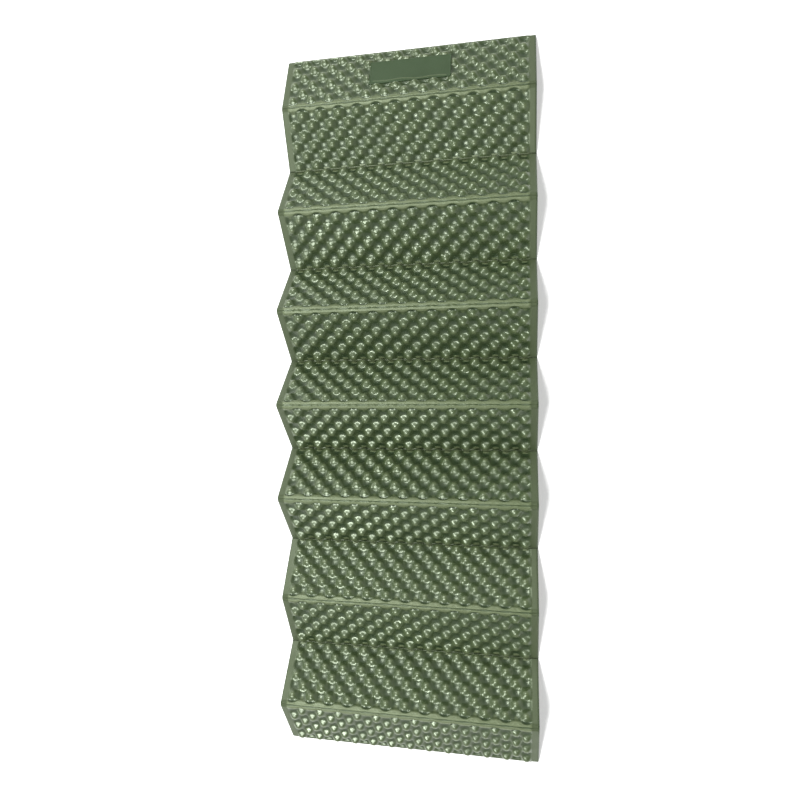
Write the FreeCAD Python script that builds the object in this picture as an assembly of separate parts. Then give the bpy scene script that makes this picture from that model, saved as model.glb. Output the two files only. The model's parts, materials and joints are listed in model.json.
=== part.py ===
import FreeCAD, Part
import math
import os

# Folding sleeping pad: one sheet of closed-cell foam, moulded with egg-crate bumps and creased into equal
# panels that fold up like an accordion. It stands half open, its lower folds on the ground.
# Millimetres. X across the pad, Y along it with the first panel at +Y, Z up from the ground.
# Each panel is drawn flat in its own frame (u along it, v across it, w up from its middle plane), and
# then placed. Odd panels climb to an upper fold, even ones go down to a lower fold.

PANELS = 14
PANEL_LENGTH = 130.7        # one crease to the next
PAD_WIDTH = 560.0
SHEET = 8.0                 # foam thickness, measured straight up
BUMP = 5.5                  # how far a bump or a hollow leaves the middle plane
PITCH = 254.0 / 12          # bumps stand on every second point of a square grid with this pitch
FIRST_ROW = 7.5             # from a lower fold to the grid row that the fold cuts through
ROWS = 6                    # grid rows on a panel, that one included
COLUMNS = 25
RIM = 6.0                   # thickness of the plain strip along both sides
BAND = 4.6                  # height of the flat band on the outside of a fold
STACK_PITCH = 9.6           # panel to panel when folded up, bumps lying in hollows
CREASE = 3.0                # from the fold's axis to the panel's end
HINGE_HALF = 2.6            # half the width of the thin strip between two panels
HINGE_FOAM = 3.2            # thickness of that strip
RIDGE_HEIGHTS = (44.0, 73.0, 83.0, 89.0, 84.0, 61.5, 74.5)   # upper fold axes above the ground
LABEL_SIZE = (181.0, 62.0, 2.5)
LABEL_CENTRE = (9.5, 60.4)     # v and u on the first panel

LIFT = STACK_PITCH / 2      # a fold's axis to the panel's middle plane
SPAN = math.hypot(PANEL_LENGTH, STACK_PITCH)


def lean_between(rise):
    """The lean of a panel whose two fold axes differ in height by rise."""
    return math.atan2(STACK_PITCH, PANEL_LENGTH) + math.asin(rise / SPAN)


def lean_of_end(height):
    """The lean of an end panel that lies on the ground at its free edge."""
    up = BAND - LIFT
    return math.asin(height / math.hypot(PANEL_LENGTH, up)) - math.atan2(up, PANEL_LENGTH)


def ground_gap(lean):
    """Height of a lower fold's axis when the band of a panel with this lean touches the ground."""
    return (BAND + LIFT) * math.cos(lean) - CREASE * math.sin(lean)


def leans():
    """The lean of every panel, all of them positive."""
    found = [math.radians(30)] * PANELS
    for _ in range(12):
        lower = [ground_gap(min(found[i], found[i + 1])) for i in range(1, PANELS - 1, 2)]
        for k, ridge in enumerate(RIDGE_HEIGHTS):
            before, after = 2 * k, 2 * k + 1
            found[before] = lean_between(ridge - lower[k - 1]) if k else lean_of_end(ridge)
            last = k == len(RIDGE_HEIGHTS) - 1
            found[after] = lean_of_end(ridge) if last else lean_between(ridge - lower[k])
    return found


def placements():
    """Where each panel's u = 0 line stands as (y, z, angle), and each fold's axis as (y, z)."""
    places = []
    axes = []
    y = 0.0
    z = RIDGE_HEIGHTS[0]
    for i, lean in enumerate(leans()):
        climbs = i % 2 == 0
        angle = lean if climbs else -lean
        along = (-math.cos(angle), math.sin(angle))
        normal = (math.sin(angle), math.cos(angle))
        start = LIFT if climbs else -LIFT
        if i == 0:
            axis = (y, z)
            base = tuple(axis[n] - PANEL_LENGTH * along[n] + LIFT * normal[n] for n in (0, 1))
        else:
            base = tuple(axes[-1][n] - start * normal[n] for n in (0, 1))
            axis = tuple(base[n] + PANEL_LENGTH * along[n] - start * normal[n] for n in (0, 1))
        places.append((base[0], base[1], angle))
        if i < PANELS - 1:
            axes.append(axis)
    return places, axes


def bump_sign(panel, row, column):
    """+1 where a bump stands, -1 where a hollow lies."""
    return 1 if (row + column + panel) % 2 == 0 else -1


def under_label(panel, row, column):
    """Whether a grid point of the first panel lies under the label plate."""
    v = (column - (COLUMNS - 1) / 2) * PITCH - LABEL_CENTRE[0]
    u = FIRST_ROW + row * PITCH - LABEL_CENTRE[1]
    return panel == 1 and abs(v) < LABEL_SIZE[0] / 2 and abs(u) < LABEL_SIZE[1] / 2


def panel_facets(panel):
    """Corner points and triangles of one panel, panel counted from 1."""
    first = panel == 1
    last = panel == PANELS
    climbs = panel % 2 == 1
    u_start = 0.0 if first else CREASE
    u_end = PANEL_LENGTH if last else PANEL_LENGTH - CREASE
    rows = [(FIRST_ROW + r * PITCH, r) for r in range(ROWS)]
    if not climbs:
        rows = [(PANEL_LENGTH - u, r) for u, r in reversed(rows)]
    lines = [(u_start, rows[0][1])] + rows + [(u_end, rows[-1][1])]
    row_at = {r: u for u, r in rows}
    half = (COLUMNS - 1) / 2
    edge = (half + 0.5) * PITCH
    across = [-PAD_WIDTH / 2, -edge] + [(c - half) * PITCH for c in range(COLUMNS)]
    across += [edge, PAD_WIDTH / 2]

    def wave(line, place):
        u, row = line
        column = place - 2
        if not 0 <= column < COLUMNS:
            return None
        fade = math.cos(math.pi * (u - row_at[row]) / PITCH)
        return bump_sign(panel, row, column) * BUMP * fade

    def outside(n):
        """Which side of the sheet is flat on line n, for a fold or a free end: +1 top, -1 bottom."""
        lower_end = (0, 1) if climbs else (len(lines) - 2, len(lines) - 1)
        upper_end = len(lines) - 1 if climbs else 0
        if n == upper_end:
            return 1
        if n in lower_end:
            return -1
        return 0

    points = []
    index = {}
    triangles = []

    def corner(side, n, m):
        key = (side, n, m)
        if key not in index:
            height = wave(lines[n], m)
            if height is None:
                w = side * RIM / 2
            elif outside(n) == side:
                w = side * BAND
            elif side > 0 and under_label(panel, lines[n][1], m - 2):
                w = SHEET / 2
            else:
                w = height + side * SHEET / 2
            index[key] = len(points)
            points.append((lines[n][0], across[m], w))
        return index[key]

    def middle(side, n, m):
        key = (side, n + 0.5, m + 0.5)
        if key not in index:
            u = (lines[n][0] + lines[n + 1][0]) / 2
            v = (across[m] + across[m + 1]) / 2
            index[key] = len(points)
            points.append((u, v, side * SHEET / 2))
        return index[key]

    def face(side, a, b, c):
        triangles.append((a, b, c) if side > 0 else (a, c, b))

    for side in (1, -1):
        for n in range(len(lines) - 1):
            for m in range(len(across) - 1):
                a = corner(side, n, m)
                b = corner(side, n, m + 1)
                c = corner(side, n + 1, m + 1)
                d = corner(side, n + 1, m)
                whole_row = lines[n + 1][0] - lines[n][0] > PITCH / 2
                if whole_row and 0 < m < len(across) - 2:
                    o = middle(side, n, m)
                    for p, q in ((a, b), (b, c), (c, d), (d, a)):
                        face(side, q, p, o)
                else:
                    face(side, b, a, d)
                    face(side, c, b, d)
    n = len(lines) - 1
    for m in range(len(across) - 1):
        triangles.append((corner(1, 0, m), corner(1, 0, m + 1), corner(-1, 0, m)))
        triangles.append((corner(1, 0, m + 1), corner(-1, 0, m + 1), corner(-1, 0, m)))
        triangles.append((corner(1, n, m + 1), corner(1, n, m), corner(-1, n, m)))
        triangles.append((corner(-1, n, m + 1), corner(1, n, m + 1), corner(-1, n, m)))
    m = len(across) - 1
    for n in range(len(lines) - 1):
        triangles.append((corner(1, n + 1, 0), corner(1, n, 0), corner(-1, n, 0)))
        triangles.append((corner(-1, n + 1, 0), corner(1, n + 1, 0), corner(-1, n, 0)))
        triangles.append((corner(1, n, m), corner(1, n + 1, m), corner(-1, n, m)))
        triangles.append((corner(1, n + 1, m), corner(-1, n + 1, m), corner(-1, n, m)))
    return points, triangles


def closed_solid(points, triangles):
    """A solid bounded by flat facets, neighbours in one plane merged."""
    shape = Part.Shape()
    vectors = [FreeCAD.Vector(*p) for p in points]
    shape.makeShapeFromMesh((vectors, triangles), 0.001)
    solid = Part.Solid(Part.Shell(shape.Faces))
    if solid.Volume < 0:
        solid.reverse()
    return solid.removeSplitter()


def stand(shape, place, shift):
    """Puts a shape drawn flat at its panel's place in the standing pad."""
    y, z, angle = place
    along = FreeCAD.Vector(0, -math.cos(angle), math.sin(angle))
    normal = FreeCAD.Vector(0, math.sin(angle), math.cos(angle))
    across = normal.cross(along)
    matrix = FreeCAD.Matrix(along.x, across.x, normal.x, shift[0],
                            along.y, across.y, normal.y, y + shift[1],
                            along.z, across.z, normal.z, z + shift[2],
                            0, 0, 0, 1)
    moved = shape.copy()
    moved.Placement = FreeCAD.Placement(matrix).multiply(moved.Placement)
    return moved


def block(low, high):
    size = [b - a for a, b in zip(low, high)]
    return Part.makeBox(size[0], size[1], size[2], FreeCAD.Vector(*low))


def hinge_strip(panel):
    """The thin foam left between a panel and the one before it, drawn in the frame of that panel."""
    climbs = panel % 2 == 1
    inner = LIFT - 0.8 if climbs else -LIFT + 0.8
    outer = inner - HINGE_FOAM if climbs else inner + HINGE_FOAM
    low = (-HINGE_HALF, -PAD_WIDTH / 2, min(inner, outer))
    high = (HINGE_HALF, PAD_WIDTH / 2, max(inner, outer))
    return block(low, high)


def label_block(bottom, top):
    v, u = LABEL_CENTRE
    wide, tall = LABEL_SIZE[0] / 2, LABEL_SIZE[1] / 2
    return block((u - tall, v - wide, bottom), (u + tall, v + wide, top))


def build():
    places, axes = placements()
    shared = {panel: closed_solid(*panel_facets(panel)) for panel in (1, 2, 3, PANELS)}
    flat = {}
    for panel in range(1, PANELS + 1):
        like = panel if panel in shared else 2 + panel % 2
        flat["panel_%02d" % panel] = (shared[like], panel - 1)
    for panel in range(2, PANELS + 1):
        flat["fold_hinge_%02d" % (panel - 1)] = (hinge_strip(panel), panel - 1)
    seat = SHEET / 2
    pocket = label_block(seat, seat + 20)
    flat["panel_01"] = (flat["panel_01"][0].cut(pocket), 0)
    flat["label_pad"] = (label_block(seat, seat + LABEL_SIZE[2]), 0)

    standing = {name: stand(s, places[i], (0, 0, 0)) for name, (s, i) in flat.items()}
    boxes = [s.BoundBox for s in standing.values()]
    y_mid = (min(b.YMin for b in boxes) + max(b.YMax for b in boxes)) / 2
    floor = min(b.ZMin for b in boxes)
    shift = (0, -y_mid, -floor)
    return {name: stand(s, places[i], shift) for name, (s, i) in flat.items()}, axes, places, shift


if __name__ == "__main__":
    os.makedirs("parts", exist_ok=True)
    shapes, fold_axes, panel_places, moved_by = build()
    for name, shape in shapes.items():
        shape.exportStep("parts/%s.step" % name)
        print(name, shape.isValid(), len(shape.Solids), len(shape.Faces), round(shape.Volume / 1000, 2))
    for number, (y, z) in enumerate(fold_axes, 1):
        print("fold %02d axis" % number, round(y + moved_by[1], 3), round(z + moved_by[2], 3))
    for number, (y, z, angle) in enumerate(panel_places, 1):
        print("panel %02d lean" % number, round(math.degrees(angle), 3))
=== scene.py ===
import json
import math
from collections import namedtuple

import bpy
from bpy.props import FloatProperty, FloatVectorProperty, IntProperty, PointerProperty
from mathutils import Matrix, Vector


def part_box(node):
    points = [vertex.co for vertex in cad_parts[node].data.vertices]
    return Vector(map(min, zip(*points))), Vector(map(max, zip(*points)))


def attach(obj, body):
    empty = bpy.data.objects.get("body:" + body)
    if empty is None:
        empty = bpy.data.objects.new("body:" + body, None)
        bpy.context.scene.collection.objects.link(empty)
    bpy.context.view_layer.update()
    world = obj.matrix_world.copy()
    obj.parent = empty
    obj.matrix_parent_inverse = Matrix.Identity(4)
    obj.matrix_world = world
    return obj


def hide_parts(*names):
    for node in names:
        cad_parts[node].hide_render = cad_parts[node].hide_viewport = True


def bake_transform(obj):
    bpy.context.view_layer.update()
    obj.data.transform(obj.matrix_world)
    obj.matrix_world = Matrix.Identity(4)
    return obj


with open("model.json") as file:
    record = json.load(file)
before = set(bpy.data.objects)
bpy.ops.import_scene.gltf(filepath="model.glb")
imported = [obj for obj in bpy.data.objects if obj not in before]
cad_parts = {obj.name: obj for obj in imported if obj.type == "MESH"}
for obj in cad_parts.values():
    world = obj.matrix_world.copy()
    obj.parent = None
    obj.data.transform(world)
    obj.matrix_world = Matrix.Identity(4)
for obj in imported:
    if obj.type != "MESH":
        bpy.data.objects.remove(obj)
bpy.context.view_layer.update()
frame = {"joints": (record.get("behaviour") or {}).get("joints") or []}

bl_info = {
    "name": "Folding Foam Sleeping Pad",
    "version": (1, 0, 0),
    "blender": (4, 5, 0),
    "location": "3D View > Sidebar > Sleeping Pad",
    "description": "Builds an accordion-fold sleeping pad of egg-crate foam on its fixed frame",
    "category": "Object",
}

# The pad is 14 panels of one moulded sheet, joined by 13 folds. Odd folds are upper ones, even folds lie on
# the ground. Each panel is shaped flat (x along it, y across it, z up from its middle plane) and then placed.

FOLDS = sorted(frame["joints"], key=lambda joint: joint["name"])
PANELS = len(FOLDS) + 1
AXES = [Vector(joint["pos_m"]) for joint in FOLDS]
TURNS = [math.radians(-joint["range_deg"][0]) for joint in FOLDS]

# Small fixed measures in metres
FIELD_FADE = 0.0022                      # half the width over which the bumps give way to a side strip
EDGE_ROUND = 0.0026                      # radius of the pad's long edges
CROWD = 0.0084                           # mesh columns bunch together this close to the long edges
MOAT_CENTRE, MOAT_WIDE = 0.0125, 0.0052  # moat round a bump: middle radius and half width
LIP_WIDE = 0.0017                        # half width of the fine lip outside the moat
SKIN_STEP = 0.0002                       # a panel's band lies this far under the fold skin
SKIN_LAP = 0.0012                        # a fold skin runs this far over a panel's outer skin
# Painted light: at this rate the moat round a bump is painted darker (painted shade) and its lip paler (painted
# highlight).
TONE_PER_METRE = 900.0                   # how fast the foam darkens with the depth of a moat

# The second column sets how far high relief is painted pale: a painted highlight (on creased foam partly crease
# whitening as well).
Finish = namedtuple("Finish", "colour rub rough gloss cell plain_sides")
FINISHES = {
    "Moulded foam": Finish("main", 0.55, 0.34, 0.85, 0.0011, True),
    "Creased foam": Finish("main", 0.95, 0.44, 0.65, 0.0009, True),
    "Label foam": Finish("label", 0.60, 0.60, 0.35, 0.0008, False),
}

# Name, place, aim, width, height and watts of each soft box
SOFT_BOXES = (
    ("key_box", (-1.75, -2.1, 5.35), (0, 0.2, 0), 1.1, 1.1, 330.0),
    ("rear_box", (-2.3, 3.4, 5.0), (0, -0.2, 0), 1.3, 1.3, 300.0),
    ("left_bank", (-2.4, 0.6, 0.9), (0, 0, 0), 0.7, 2.6, 14.0),
)


# Sizes and colours

def length(name, description, default):
    return FloatProperty(name=name, description=description, default=default, unit="LENGTH", precision=5)


def colour(name, description, default):
    return FloatVectorProperty(name=name, description=description, default=default, size=3,
                               subtype="COLOR", min=0.0, max=1.0)


class PadSizes(bpy.types.PropertyGroup):
    panel: length("Panel", "One crease to the next", 0.1307)
    width: length("Width", "Pad width", 0.56)
    pitch: length("Pitch", "Grid step; bumps stand on every second point", 0.254 / 12)
    first_row: length("First row", "From a lower fold to the row that it cuts through", 0.0075)
    bump: length("Bump", "How far a bump leaves the middle plane", 0.0055)
    sheet: length("Sheet", "Foam thickness in the bumpy field", 0.008)
    rim: length("Rim", "Foam thickness of the plain side strips", 0.006)
    field: length("Field", "Half width of the bumpy field", 0.2646)
    band: length("Band", "Height of the flat band outside a fold", 0.0044)
    stack: length("Stack pitch", "Panel to panel when folded up", 0.0096)
    seam: length("Seam", "From a fold's axis to the end of the panel's outer skin", 0.005)
    slit: length("Slit", "From a fold's axis to the end of the panel's inner skin", 0.0007)
    moat: length("Moat", "Depth of the moat pressed round each bump next to an upper fold", 0.0026)
    lip: length("Lip", "Height of the fine lip outside that moat", 0.00025)
    label_wide: length("Label width", "Across the pad", 0.181)
    label_tall: length("Label height", "Along the panel", 0.062)
    label_thick: length("Label thickness", "How far the label plate stands above the sheet", 0.0025)
    steps_across: IntProperty(name="Steps across", description="Mesh points across the pad", default=267)
    steps_along: IntProperty(name="Steps along", description="Mesh points along a panel", default=63)
    steps_round: IntProperty(name="Steps round", description="Mesh points round a fold", default=27)


class PadColours(bpy.types.PropertyGroup):
    # Hollow green stands for painted shade: the hollows, moats, fold grooves and rounded long edges darken toward
    # it; the random mottle uses it too.
    deep: colour("Hollow green", "Foam at the bottom of the hollows", (0.016, 0.030, 0.011))
    main: colour("Main green", "Foam on the flanks of the bumps", (0.046, 0.067, 0.026))
    # Pale green is a painted highlight on the bump tops, flat bands, wedges and fold lips (on the folds partly
    # crease whitening).
    pale: colour("Pale green", "Foam rubbed on the bump tops and fold lips", (0.125, 0.152, 0.075))
    side: colour("Side strip", "Plain strips along both sides", (0.036, 0.051, 0.019))
    label: colour("Label", "Smooth label plate", (0.028, 0.052, 0.021))
    floor: colour("Floor", "Studio floor", (0.90, 0.90, 0.90))


# Node fields

class Field:
    """A number that varies over a mesh or a surface, written as arithmetic on node sockets."""

    def __init__(self, tree, socket):
        self.tree = tree
        self.socket = socket

    def node(self, kind, *values, output=0, **settings):
        node = self.tree.nodes.new(kind)
        for setting, value in settings.items():
            setattr(node, setting, value)
        for slot, value in zip(node.inputs, values):
            give(self.tree, slot, value)
        return Field(self.tree, node.outputs[output])

    def math(self, operation, *others):
        return self.node("ShaderNodeMath", self, *others, operation=operation)

    def __add__(self, other):
        return self.math("ADD", other)

    def __sub__(self, other):
        return self.math("SUBTRACT", other)

    def __mul__(self, other):
        return self.math("MULTIPLY", other)

    def __truediv__(self, other):
        return self.math("DIVIDE", other)

    def __neg__(self):
        return self.math("MULTIPLY", -1.0)

    def __abs__(self):
        return self.math("ABSOLUTE")

    __radd__ = __add__
    __rmul__ = __mul__

    def taken_from(self, whole):
        return self.math("MULTIPLY_ADD", -1.0, whole)

    def ease(self, low, high):
        """0 at low, 1 at high and smooth between them."""
        return self.node("ShaderNodeMapRange", self, low, high, 0.0, 1.0, interpolation_type="SMOOTHSTEP")

    def toward(self, other, share):
        """This field moved by share of the way to other."""
        return self + (other - self) * share if isinstance(other, Field) else self - (self - other) * share

    def hump(self, centre, width):
        """A smooth ridge, 1 at centre and near 0 beyond width."""
        return abs(self - centre).ease(width, 0.0)

    def far(self, other):
        """Distance from the origin, with other as the second coordinate."""
        return (self * self + other * other).math("SQRT")


def give(tree, slot, value):
    """Links a field to a socket, or sets the socket to a plain value."""
    if isinstance(value, Field):
        tree.links.new(value.socket, slot)
    elif value is not None:
        slot.default_value = value


def start_tree(name, kind, inputs, outputs):
    """A node group with named inputs and outputs, its input fields, and its output node."""
    tree = bpy.data.node_groups.new(name, kind)
    for label, socket_type in inputs:
        tree.interface.new_socket(label, in_out="INPUT", socket_type=socket_type)
    for label, socket_type in outputs:
        tree.interface.new_socket(label, in_out="OUTPUT", socket_type=socket_type)
    entry = tree.nodes.new("NodeGroupInput")
    fields = {label: Field(tree, entry.outputs[label]) for label, _ in inputs}
    return tree, fields, tree.nodes.new("NodeGroupOutput")


def shape_tree(name, sizes, counts):
    """A geometry tree that bends a closed grid box into a piece of foam."""
    inputs = [(label, "NodeSocketInt") for label in counts]
    inputs += [(label, "NodeSocketFloat") for label in sizes]
    inputs.append(("Foam", "NodeSocketMaterial"))
    tree, fields, out = start_tree(name, "GeometryNodeTree", inputs, [("Geometry", "NodeSocketGeometry")])
    along, across = (fields[label] for label in counts)
    box = along.node("GeometryNodeMeshCube", (1.0, 1.0, 1.0), along, across, 2)
    place = tree.nodes.new("GeometryNodeInputPosition")
    split = tree.nodes.new("ShaderNodeSeparateXYZ")
    tree.links.new(place.outputs[0], split.inputs[0])
    grid = [Field(tree, split.outputs[axis]) + 0.5 for axis in range(3)]
    return fields, out, box, grid


def close_tree(box, out, position, stored, foam):
    """Moves the grid box, stores its surface fields and ends the tree."""
    tree = box.tree
    shape = box
    for name, value in stored.items():
        vector = isinstance(value, tuple)
        if vector:
            value = box.node("ShaderNodeCombineXYZ", *value)
        shape = shape.node("GeometryNodeStoreNamedAttribute", shape, None, name, value,
                           data_type="FLOAT_VECTOR" if vector else "FLOAT")
    target = box.node("ShaderNodeCombineXYZ", *position)
    shape = shape.node("GeometryNodeSetPosition", shape, None, target)
    shape = shape.node("GeometryNodeRealizeInstances", shape)
    shape = shape.node("GeometryNodeSetMaterial", shape, None, foam)
    tree.links.new(shape.socket, out.inputs[0])
    return tree


def across_pad(grid, has):
    """Distance across the pad and from its side edge; the last columns crowd to the edge to round it."""
    signed = grid * 2.0 - 1.0
    even = (abs(signed)).taken_from(1.0) * has["Half Width"]
    crowd = even.math("LESS_THAN", CROWD)
    from_edge = even + (even * even / CROWD - even) * crowd
    return signed.math("SIGN") * from_edge.taken_from(has["Half Width"]), from_edge


def edge_rounding(from_edge):
    """Share of the thickness that is left near a rounded edge."""
    k = (from_edge / EDGE_ROUND).math("MINIMUM", 1.0).taken_from(1.0)
    return (k * k).taken_from(1.0).math("SQRT") * 0.85 + 0.15


def side_strip(v, has):
    """0 in the bumpy field and 1 on the plain side strips."""
    return abs(v).ease(has["Half Field"] - FIELD_FADE, has["Half Field"] + FIELD_FADE)


def wave_step(has):
    """Radians of the bump wave per metre."""
    return has["Pitch"].math("POWER", -1.0) * math.pi


def pressed_rings(across, gap, has):
    """Height of the moat pressed round the bump nearest an upper fold and of the fine lip outside it."""
    reach = across.far(gap)
    return reach.hump(has["Circle"], LIP_WIDE) * has["Lip"] - reach.hump(MOAT_CENTRE, MOAT_WIDE) * has["Moat"]


def egg_crate(wave):
    """Height of the moulded skin over a wave from -1 to 1: tight domes on a wide, shallow net of hollows."""
    return wave.ease(-0.7, 1.25) * 1.79 - wave.ease(-0.65, -1.0) * 0.13 - 0.714


def panel_tree():
    """A flat panel: bumps and hollows, plain side strips, flat bands outside its folds.

    The wedges between the last bumps beside an upper fold are painted paler, a painted highlight, but not raised,
    so that a folded pad nests. The flat band is painted pale the same way, and the moat round each last bump is
    painted darker, a painted shade."""
    sizes = ("Half Width", "Length", "Pitch", "First Row", "Bump", "Half Sheet", "Half Rim", "Half Field", "Band",
             "Sign", "Shift", "Lower End", "Free End", "Start Top", "Start Under", "End Top", "End Under",
             "Circle", "Lip", "Moat", "Label Along", "Label Across", "Label Half Tall", "Label Half Wide", "Seat")
    has, out, box, grid = shape_tree("Egg-crate Panel", sizes, ("Steps Along", "Steps Across"))
    v, from_edge = across_pad(grid[1], has)
    start = has["Start Under"].toward(has["Start Top"], grid[2])
    end = has["End Under"].toward(has["End Top"], grid[2])
    u = start.toward(end, grid[0])
    low = abs(u - has["Lower End"])
    high = low.taken_from(has["Length"])

    step = wave_step(has)
    rim = side_strip(v, has)
    field = rim.taken_from(1.0) * abs(u - has["Free End"]).ease(0.0005, 0.0080)
    wave = (v * step).math("COSINE") * ((low - has["First Row"]) * step).math("COSINE") * has["Sign"]
    full = wave * field
    hills = egg_crate(full) * has["Bump"] * field
    pits = egg_crate(-full) * has["Bump"] * field
    on_label = (abs(u - has["Label Along"]).ease(has["Label Half Tall"] + 0.0035, has["Label Half Tall"] - 0.0005)
                * abs(v - has["Label Across"]).ease(has["Label Half Wide"] + 0.0035,
                                                    has["Label Half Wide"] - 0.0005))
    half = has["Half Sheet"].toward(has["Half Rim"], rim)
    top = (hills + half).toward(has["Seat"], on_label)
    under = -(pits + half)

    last_row = has["Pitch"] * 5.0 + has["First Row"]
    near = (v - has["Shift"]).math("PINGPONG", has["Pitch"])
    gap = low.taken_from(last_row)
    rings = pressed_rings(near, gap, has) * field
    band = has["Band"].toward(has["Half Rim"], rim) + rings
    # Painted highlight: the wedges between the last bumps beside an upper fold.
    wedge = near.far(gap).ease(0.0168, 0.0200) * high.ease(0.0190, 0.0125)
    flat = high.ease(0.0095, 0.0050)
    top = top.toward(band, flat)
    under = under.toward(-has["Band"].toward(has["Half Rim"], rim), low.ease(0.0150, 0.0075))
    w = under.toward(top, grid[2]) * edge_rounding(from_edge)

    # Painted light: the flat band and wedges get a pale tone (painted highlight), the moat a dark one (painted
    # shade) and its lip a paler one (painted highlight).
    painted_light_tone = full.toward(rings * TONE_PER_METRE + 0.95, flat.math("MAXIMUM", wedge))
    stored = {"pad_place": (v, low, high), "relief": (-full).toward(painted_light_tone, grid[2])}
    return close_tree(box, out, (u, v, w), stored, has["Foam"])


def fold_tree():
    """The skin round a fold: it follows one panel's band, bends round the axis and follows the next band."""
    sizes = ("Half Width", "Pitch", "Half Rim", "Half Field", "Band", "Lift", "First Lean", "Turn", "Upward",
             "Reach", "Inner Radius", "Floor", "Shift", "Next Shift", "Last Row", "Circle", "Lip", "Moat")
    has, out, box, grid = shape_tree("Fold Skin", sizes, ("Steps Round", "Steps Across"))
    side, from_edge = across_pad(grid[1], has)
    v = side * has["Upward"]
    radius = has["Band"] + has["Lift"]
    half_arc = radius * has["Turn"] * 0.5
    reach = has["Reach"] - (grid[2].taken_from(1.0)) * 0.0016
    skin = (grid[0] * 2.0 - 1.0) * (half_arc + reach)
    arc = (skin + half_arc) / radius
    turned = arc.math("MAXIMUM", 0.0).math("MINIMUM", has["Turn"])
    beyond = skin - (turned * radius - half_arc)
    rim = side_strip(v, has)
    field = rim.taken_from(1.0)

    before = pressed_rings((v - has["Shift"]).math("PINGPONG", has["Pitch"]),
                           skin + half_arc + has["Last Row"], has)
    after = pressed_rings((v - has["Next Shift"]).math("PINGPONG", has["Pitch"]),
                          (skin - half_arc).taken_from(has["Last Row"]), has)
    rings = (before + after) * field
    swing = ((v - has["Shift"]) * wave_step(has)).math("COSINE") * field
    spread = swing * 0.0010 + 0.0026
    lips = (abs(skin) - spread).hump(0.0, 0.0014)
    groove = abs(skin).ease(spread, 0.0)
    crease = (lips * 0.0003 - groove * 0.0014) * has["Circle"].math("GREATER_THAN", 0.0)
    worked = abs(skin).ease(half_arc, half_arc - 0.0020)
    band = has["Band"].toward(has["Half Rim"], rim)
    ends = abs(skin).ease(half_arc + reach - 0.0004, half_arc + reach - 0.0014)
    height = band + rings - worked * 0.0007 + crease - ends.taken_from(1.0) * 0.0006
    outer = (height * edge_rounding(from_edge) + has["Lift"])
    inner = has["Inner Radius"].math("MINIMUM", outer - 0.0004)
    r = inner.toward(outer, grid[2])
    angle = turned.taken_from(has["First Lean"])
    y = r * angle.math("SINE") - beyond * angle.math("COSINE")
    z = (r * angle.math("COSINE") + beyond * angle.math("SINE")) * has["Upward"]
    z = z.math("MAXIMUM", has["Floor"])
    # Painted light: the fold lips paler (painted highlight), the middle groove and the moats darker (painted
    # shade); the even pale of the whole skin is partly painted highlight and partly crease whitening.
    tone = lips * 0.4 - groove * 1.5 + rings * TONE_PER_METRE + 0.85
    stored = {"pad_place": (v, abs(skin), half_arc), "relief": tone}
    return close_tree(box, out, (v, y, z), stored, has["Foam"])


def label_tree():
    """A smooth plate with one low wavy line near its lower edge, drawn in its panel's flat frame."""
    sizes = ("Along", "Across", "Half Tall", "Half Wide", "Seat", "Thick")
    has, out, box, grid = shape_tree("Label Plate", sizes, ("Steps Along", "Steps Across"))

    def eased(share):
        centred = share * 2.0 - 1.0
        return centred * (centred * centred * -0.22 + 1.22)

    du = eased(grid[0]) * has["Half Tall"]
    dv = eased(grid[1]) * has["Half Wide"]
    from_edge = abs(du).taken_from(has["Half Tall"]).math("MINIMUM", abs(dv).taken_from(has["Half Wide"]))
    border = from_edge.ease(0.0034, 0.0022)
    wavy = (dv * 92.0).math("SINE") * 0.0014 + (dv * 37.0).math("SINE") * 0.0012
    line = (du - has["Half Tall"] * 0.84 - wavy).hump(0.0, 0.0022) * abs(dv).ease(0.086, 0.078)
    face = has["Seat"] + has["Thick"] - 0.0006 + border * 0.0002 + line * 0.0010
    corner = from_edge.ease(0.0, 0.0012).taken_from(1.0)
    w = (has["Seat"] - 0.0030).toward(face - corner * 0.0007, grid[2])
    stored = {"pad_place": (dv, du, from_edge), "relief": line * 1.2}
    return close_tree(box, out, (has["Along"] + du, has["Across"] + dv, w), stored, has["Foam"])


def grow(name, tree, values):
    """Runs a geometry tree once on a new object and keeps the result as a plain mesh."""
    piece = bpy.data.objects.new(name, bpy.data.meshes.new(name))
    shape = piece.modifiers.new("Shape", "NODES")
    shape.node_group = tree
    sockets = {s.name: s.identifier for s in tree.interface.items_tree if s.in_out == "INPUT"}
    for label, value in values.items():
        shape[sockets[label]] = value
    bpy.context.scene.collection.objects.link(piece)
    ready = bpy.context.evaluated_depsgraph_get()
    mesh = bpy.data.meshes.new_from_object(piece.evaluated_get(ready), preserve_all_data_layers=True,
                                           depsgraph=ready)
    piece.modifiers.clear()
    piece.data = mesh
    mesh.name = name
    if not mesh.polygons:
        raise RuntimeError(name + " came out empty")
    return piece


def finish_piece(piece, matrix, nodes):
    piece.data.transform(matrix)
    piece.data.shade_smooth()
    piece.data.set_sharp_from_angle(angle=math.radians(52))
    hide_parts(*nodes)


# Where the panels stand

def panel_leans(sizes):
    """Lean of every panel, from the heights of the fold axes."""
    span = math.hypot(sizes.panel, sizes.stack)
    tilt = math.atan2(sizes.stack, sizes.panel)
    between = [tilt + math.asin(abs(a.z - b.z) / span) for a, b in zip(AXES, AXES[1:])]
    return [TURNS[0] - between[0]] + between + [TURNS[-1] - between[-1]]


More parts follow.
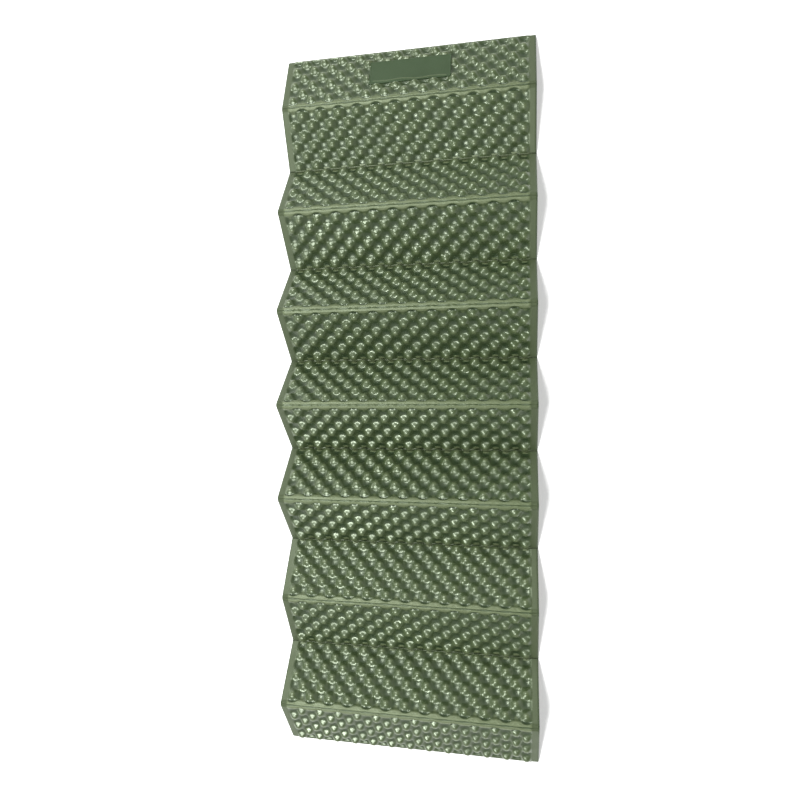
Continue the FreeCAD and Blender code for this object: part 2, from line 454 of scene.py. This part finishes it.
def panel_matrix(number, sizes, leans):
    """Flat panel frame to its place in the standing pad."""
    climbs = number % 2 == 1
    lean = leans[number - 1] if climbs else -leans[number - 1]
    along = Vector((0, -math.cos(lean), math.sin(lean)))
    normal = Vector((0, math.sin(lean), math.cos(lean)))
    lift = sizes.stack / 2
    if number == 1:
        base = AXES[0] - along * sizes.panel + normal * lift
    else:
        base = AXES[number - 2] + normal * (-lift if climbs else lift)
    matrix = Matrix.Translation((0, base.y, base.z)).to_4x4()
    for row in range(3):
        matrix[row][0] = along[row]
        matrix[row][1] = (1.0, 0.0, 0.0)[row]
        matrix[row][2] = normal[row]
    return matrix


def lip_circle(sizes, turn):
    """Radius of the lip round the bump next to an upper fold: it just touches the ridge."""
    last_row = sizes.first_row + 5 * sizes.pitch
    return sizes.panel - last_row + (sizes.band + sizes.stack / 2) * turn / 2


def label_place():
    """Middle of the label plate in world axes."""
    low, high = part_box("label_pad")
    return (low + high) / 2


# Materials

def grain_group():
    """Fine closed-cell grain and the cloudy tone of moulded foam."""
    tree, has, out = start_tree("Foam Grain", "ShaderNodeTree",
                                [("Vector", "NodeSocketVector"), ("Cell", "NodeSocketFloat"),
                                 ("Cloud", "NodeSocketFloat")],
                                [("Height", "NodeSocketFloat"), ("Mottle", "NodeSocketFloat")])
    fine = has["Cell"].math("POWER", -1.0)
    cells = fine.node("ShaderNodeTexVoronoi", has["Vector"], None, fine)
    skin = fine.node("ShaderNodeTexNoise", has["Vector"], None, fine * 0.45, 4.0, 0.6)
    cloud = fine.node("ShaderNodeTexNoise", has["Vector"], None, has["Cloud"].math("POWER", -1.0), 4.0, 0.55)
    height = cells.ease(0.0, 0.7) * 0.45 + skin * 0.55
    tree.links.new(height.socket, out.inputs["Height"])
    tree.links.new(cloud.ease(0.32, 0.68).socket, out.inputs["Mottle"])
    return tree


def mix(field, share, first, second):
    """A blend of two colours in the tree that field belongs to."""
    node = field.tree.nodes.new("ShaderNodeMix")
    node.data_type = "RGBA"
    give(field.tree, node.inputs[0], share)
    give(field.tree, node.inputs[6], first)
    give(field.tree, node.inputs[7], second)
    return Field(field.tree, node.outputs[2])


def tone_group():
    """Foam colour by height of the surface: painted shade deep in the hollows, painted highlight pale on the tops,
    cloudy all over.
    """
    tree, has, out = start_tree("Foam Tone", "ShaderNodeTree",
                                [("Relief", "NodeSocketFloat"), ("Mottle", "NodeSocketFloat"),
                                 ("Deep", "NodeSocketColor"), ("Main", "NodeSocketColor"),
                                 ("Pale", "NodeSocketColor"), ("Rub", "NodeSocketFloat")],
                                [("Color", "NodeSocketColor")])
    # Painted shade: low relief (hollows, moats, fold grooves) darkens toward the hollow green.
    shade = mix(has["Relief"], has["Relief"].ease(-1.0, 0.25), has["Deep"], has["Main"])
    # Painted highlight: high relief (bump tops, flat bands, wedges, fold lips) is painted pale.
    highlighted = has["Relief"].ease(0.45, 1.0) * has["Rub"] * (has["Mottle"] * 0.6 + 0.55)
    shade = mix(highlighted, highlighted, shade, has["Pale"])
    dusk = mix(shade, has["Mottle"] * 0.30, shade, has["Deep"])
    tree.links.new(dusk.socket, out.inputs["Color"])
    return tree


def surface(name, paint):
    """A Principled material whose fields are set by paint(tree, place, attributes)."""
    material = bpy.data.materials.new(name)
    material.use_nodes = True
    tree = material.node_tree
    shader = next(n for n in tree.nodes if n.type == "BSDF_PRINCIPLED")
    coords = tree.nodes.new("ShaderNodeTexCoord")
    paint(tree, shader, Field(tree, coords.outputs["Object"]))
    return material


def attribute(tree, name, output):
    node = tree.nodes.new("ShaderNodeAttribute")
    node.attribute_name = name
    return Field(tree, node.outputs[output])


def foam_surface(name, groups, colours, finish):
    """Moulded foam: painted shade and painted highlight by relief, painted shade along the rounded long edges,
    cell grain as bump, softly glossy skin.
    """
    def paint(tree, shader, place):
        grain = tree.nodes.new("ShaderNodeGroup")
        grain.node_tree = groups["grain"]
        give(tree, grain.inputs["Vector"], place)
        give(tree, grain.inputs["Cell"], finish.cell)
        give(tree, grain.inputs["Cloud"], 0.085)
        mottle = Field(tree, grain.outputs["Mottle"])
        tone = tree.nodes.new("ShaderNodeGroup")
        tone.node_tree = groups["tone"]
        give(tree, tone.inputs["Relief"], attribute(tree, "relief", "Fac"))
        give(tree, tone.inputs["Mottle"], mottle)
        deep = tuple(colours.deep) + (1.0,)
        give(tree, tone.inputs["Deep"], deep)
        give(tree, tone.inputs["Main"], tuple(getattr(colours, finish.colour)) + (1.0,))
        give(tree, tone.inputs["Pale"], tuple(colours.pale) + (1.0,))
        give(tree, tone.inputs["Rub"], finish.rub)
        shade = Field(tree, tone.outputs["Color"])
        uneven = mottle * 0.10 + (finish.rough - 0.05)
        if finish.plain_sides:
            spread = place.node("ShaderNodeSeparateXYZ", attribute(tree, "pad_place", "Vector"))
            v = abs(spread)
            side = v.ease(0.2630, 0.2665)
            shade = mix(v, side, shade, tuple(colours.side) + (1.0,))
            # Painted shade: the rounded long edges darken toward the hollow green.
            shade = mix(v, v.ease(0.2755, 0.2795) * 0.75, shade, deep)
            uneven = uneven + side * 0.25
        tree.links.new(shade.socket, shader.inputs["Base Color"])
        tree.links.new(uneven.socket, shader.inputs["Roughness"])
        bump = tree.nodes.new("ShaderNodeBump")
        bump.inputs["Strength"].default_value = 0.35
        bump.inputs["Distance"].default_value = 0.00035
        tree.links.new(grain.outputs["Height"], bump.inputs["Height"])
        tree.links.new(bump.outputs[0], shader.inputs["Normal"])
        shader.inputs["Specular IOR Level"].default_value = finish.gloss
        shader.inputs["Specular Tint"].default_value = (0.88, 1.0, 0.78, 1.0)
        shader.inputs["Sheen Weight"].default_value = 0.10
        shader.inputs["Sheen Roughness"].default_value = 0.4
        shader.inputs["Sheen Tint"].default_value = (0.75, 0.90, 0.60, 1.0)
    return surface(name, paint)


def foam_materials():
    """The three foam finishes, made once."""
    if "Moulded foam" not in bpy.data.materials:
        groups = {"grain": grain_group(), "tone": tone_group()}
        for name, finish in FINISHES.items():
            foam_surface(name, groups, bpy.context.scene.pad_colours, finish)
    return {name: bpy.data.materials[name] for name in FINISHES}


# Operators

class PAD_OT_panels(bpy.types.Operator):
    """Mould the fourteen egg-crate panels"""
    bl_idname = "pad.panels"
    bl_label = "Panels"

    def execute(self, context):
        sizes = context.scene.pad_sizes
        leans = panel_leans(sizes)
        foam = foam_materials()["Moulded foam"]
        tree = panel_tree()
        label = label_place()
        for number in range(1, PANELS + 1):
            climbs = number % 2 == 1
            matrix = panel_matrix(number, sizes, leans)
            upper = number - 1 if climbs else number - 2
            on_label = matrix.inverted() @ label if number == 1 else Vector((-1.0, 0.0, 0.0))
            ends = {True: (sizes.slit, sizes.seam), False: (sizes.seam, sizes.slit)}
            start = (0.0, 0.0) if number == 1 else ends[climbs]
            end = (0.0, 0.0) if number == PANELS else ends[not climbs]
            piece = grow("foam_panel_%02d" % number, tree, {
                "Steps Along": sizes.steps_along,
                "Steps Across": sizes.steps_across,
                "Half Width": sizes.width / 2,
                "Length": sizes.panel,
                "Pitch": sizes.pitch,
                "First Row": sizes.first_row,
                "Bump": sizes.bump,
                "Half Sheet": sizes.sheet / 2,
                "Half Rim": sizes.rim / 2,
                "Half Field": sizes.field,
                "Band": sizes.band - SKIN_STEP,
                "Sign": -1.0 if climbs else 1.0,
                "Shift": 0.0 if climbs else sizes.pitch,
                "Lower End": 0.0 if climbs else sizes.panel,
                "Free End": {1: 0.0, PANELS: sizes.panel}.get(number, -1.0),
                "Start Top": start[0],
                "Start Under": start[1],
                "End Top": sizes.panel - end[0],
                "End Under": sizes.panel - end[1],
                "Circle": lip_circle(sizes, TURNS[upper]),
                "Lip": sizes.lip,
                "Moat": sizes.moat,
                "Label Along": on_label.x,
                "Label Across": on_label.y,
                "Label Half Tall": sizes.label_tall / 2,
                "Label Half Wide": sizes.label_wide / 2,
                "Seat": sizes.sheet / 2 - 0.0005,
                "Foam": foam,
            })
            finish_piece(piece, matrix, ["panel_%02d" % number])
            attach(piece, "panel_body_%02d" % number)
        return {"FINISHED"}


class PAD_OT_folds(bpy.types.Operator):
    """Form the skin of the thirteen folds between the panels"""
    bl_idname = "pad.folds"
    bl_label = "Folds"

    def execute(self, context):
        sizes = context.scene.pad_sizes
        leans = panel_leans(sizes)
        foam = foam_materials()["Creased foam"]
        tree = fold_tree()
        for number in range(1, PANELS):
            upper = number % 2 == 1
            axis = AXES[number - 1]
            before, after = leans[number - 1], leans[number]
            turn = TURNS[number - 1]
            piece = grow("fold_skin_%02d" % number, tree, {
                "Steps Round": sizes.steps_round,
                "Steps Across": sizes.steps_across,
                "Half Width": sizes.width / 2,
                "Pitch": sizes.pitch,
                "Half Rim": sizes.rim / 2,
                "Half Field": sizes.field,
                "Band": sizes.band,
                "Lift": sizes.stack / 2,
                "First Lean": before,
                "Turn": turn,
                "Upward": 1.0 if upper else -1.0,
                "Reach": sizes.seam + SKIN_LAP,
                "Inner Radius": 0.0060 if upper else 0.0043,
                "Floor": 0.0002 - axis.z,
                "Shift": 0.0 if upper else sizes.pitch,
                "Next Shift": sizes.pitch if upper else 0.0,
                "Last Row": sizes.panel - sizes.first_row - 5 * sizes.pitch,
                "Circle": lip_circle(sizes, turn) if upper else 0.0,
                "Lip": sizes.lip if upper else 0.0,
                "Moat": sizes.moat if upper else 0.0,
                "Foam": foam,
            })
            place = Matrix.Translation((0, axis.y, axis.z))
            finish_piece(piece, place, ["fold_hinge_%02d" % number])
            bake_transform(piece)
        return {"FINISHED"}


class PAD_OT_label(bpy.types.Operator):
    """Press the plain label plate into the first panel"""
    bl_idname = "pad.label"
    bl_label = "Label Plate"

    def execute(self, context):
        sizes = context.scene.pad_sizes
        matrix = panel_matrix(1, sizes, panel_leans(sizes))
        centre = matrix.inverted() @ label_place()
        piece = grow("label_plate", label_tree(), {
            "Steps Along": 61,
            "Steps Across": 221,
            "Along": centre.x,
            "Across": centre.y,
            "Half Tall": sizes.label_tall / 2,
            "Half Wide": sizes.label_wide / 2,
            "Seat": sizes.sheet / 2,
            "Thick": sizes.label_thick,
            "Foam": foam_materials()["Label foam"],
        })
        finish_piece(piece, matrix, ["label_pad"])
        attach(piece, "panel_body_01")
        return {"FINISHED"}


class PAD_OT_stage(bpy.types.Operator):
    """Set the floor, the soft lights and the camera"""
    bl_idname = "pad.stage"
    bl_label = "Stage"

    def execute(self, context):
        scene = context.scene
        size = 4.0
        corners = [(-size, -size, 0), (size, -size, 0), (size, size, 0), (-size, size, 0)]
        mesh = bpy.data.meshes.new("studio_floor")
        mesh.from_pydata(corners, [], [(0, 1, 2, 3)])
        floor = bpy.data.objects.new("studio_floor", mesh)
        scene.collection.objects.link(floor)

        def paint(tree, shader, place):
            speck = place.node("ShaderNodeTexNoise", place, None, 900.0, 3.0, 0.6)
            tone = tuple(scene.pad_colours.floor) + (1.0,)
            shade = mix(speck, speck.ease(0.3, 0.7) * 0.04, tone, (0.8, 0.8, 0.8, 1.0))
            tree.links.new(shade.socket, shader.inputs["Base Color"])
            shader.inputs["Roughness"].default_value = 0.8
            shader.inputs["Specular IOR Level"].default_value = 0.1
            shader.inputs["Emission Color"].default_value = (1.0, 1.0, 1.0, 1.0)
            shader.inputs["Emission Strength"].default_value = 0.35
        mesh.materials.append(surface("Studio paper", paint))

        def soft_box(name, place, aim, wide, tall, power):
            light = bpy.data.lights.new(name, "AREA")
            light.shape = "RECTANGLE"
            light.size, light.size_y = wide, tall
            light.energy = power
            lamp = bpy.data.objects.new(name, light)
            lamp.location = place
            lamp.rotation_euler = (Vector(aim) - Vector(place)).to_track_quat("-Z", "Y").to_euler()
            scene.collection.objects.link(lamp)
        for values in SOFT_BOXES:
            soft_box(*values)

        world = bpy.data.worlds.new("Studio")
        world.use_nodes = True
        sky = world.node_tree.nodes["Background"]
        sky.inputs["Color"].default_value = (1.0, 1.0, 1.0, 1.0)
        coords = world.node_tree.nodes.new("ShaderNodeTexCoord")
        split = world.node_tree.nodes.new("ShaderNodeSeparateXYZ")
        world.node_tree.links.new(coords.outputs["Generated"], split.inputs[0])
        height = Field(world.node_tree, split.outputs[2])
        give(world.node_tree, sky.inputs["Strength"], height.ease(0.80, 0.30) * 0.75 + 0.20)
        scene.world = world
        scene.view_settings.view_transform = "Standard"

        camera = bpy.data.objects.new("camera", bpy.data.cameras.new("camera"))
        camera.data.sensor_width = 36.0
        camera.data.lens = 27.556
        right = Vector((0.98131, -0.00514, -0.19237)).normalized()
        up = Vector((0.00373, 0.99996, -0.00773))
        back = right.cross(up).normalized()
        up = back.cross(right)
        turn = Matrix((right, up, back)).transposed().to_4x4()
        place = Vector((0.24324, AXES[0].y - 0.64551, 1.35478))
        camera.matrix_world = Matrix.Translation(place) @ turn
        camera.data.clip_start = 0.01
        scene.collection.objects.link(camera)
        scene.camera = camera
        return {"FINISHED"}


STEPS = (PAD_OT_panels, PAD_OT_folds, PAD_OT_label, PAD_OT_stage)


class PAD_PT_sidebar(bpy.types.Panel):
    bl_label = "Sleeping Pad"
    bl_idname = "PAD_PT_sidebar"
    bl_space_type = "VIEW_3D"
    bl_region_type = "UI"
    bl_category = "Sleeping Pad"

    def draw(self, context):
        for group in (context.scene.pad_sizes, context.scene.pad_colours):
            column = self.layout.column(align=True)
            for name in group.__annotations__:
                column.prop(group, name)
        for step in STEPS:
            self.layout.operator(step.bl_idname)


CLASSES = (PadSizes, PadColours) + STEPS + (PAD_PT_sidebar,)


def register():
    for cls in CLASSES:
        bpy.utils.register_class(cls)
    bpy.types.Scene.pad_sizes = PointerProperty(type=PadSizes)
    bpy.types.Scene.pad_colours = PointerProperty(type=PadColours)


def unregister():
    del bpy.types.Scene.pad_colours
    del bpy.types.Scene.pad_sizes
    for cls in reversed(CLASSES):
        bpy.utils.unregister_class(cls)


def main():
    register()
    for step in STEPS:
        group, name = step.bl_idname.split(".")
        getattr(getattr(bpy.ops, group), name)()
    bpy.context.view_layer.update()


if __name__ == "__main__":
    main()
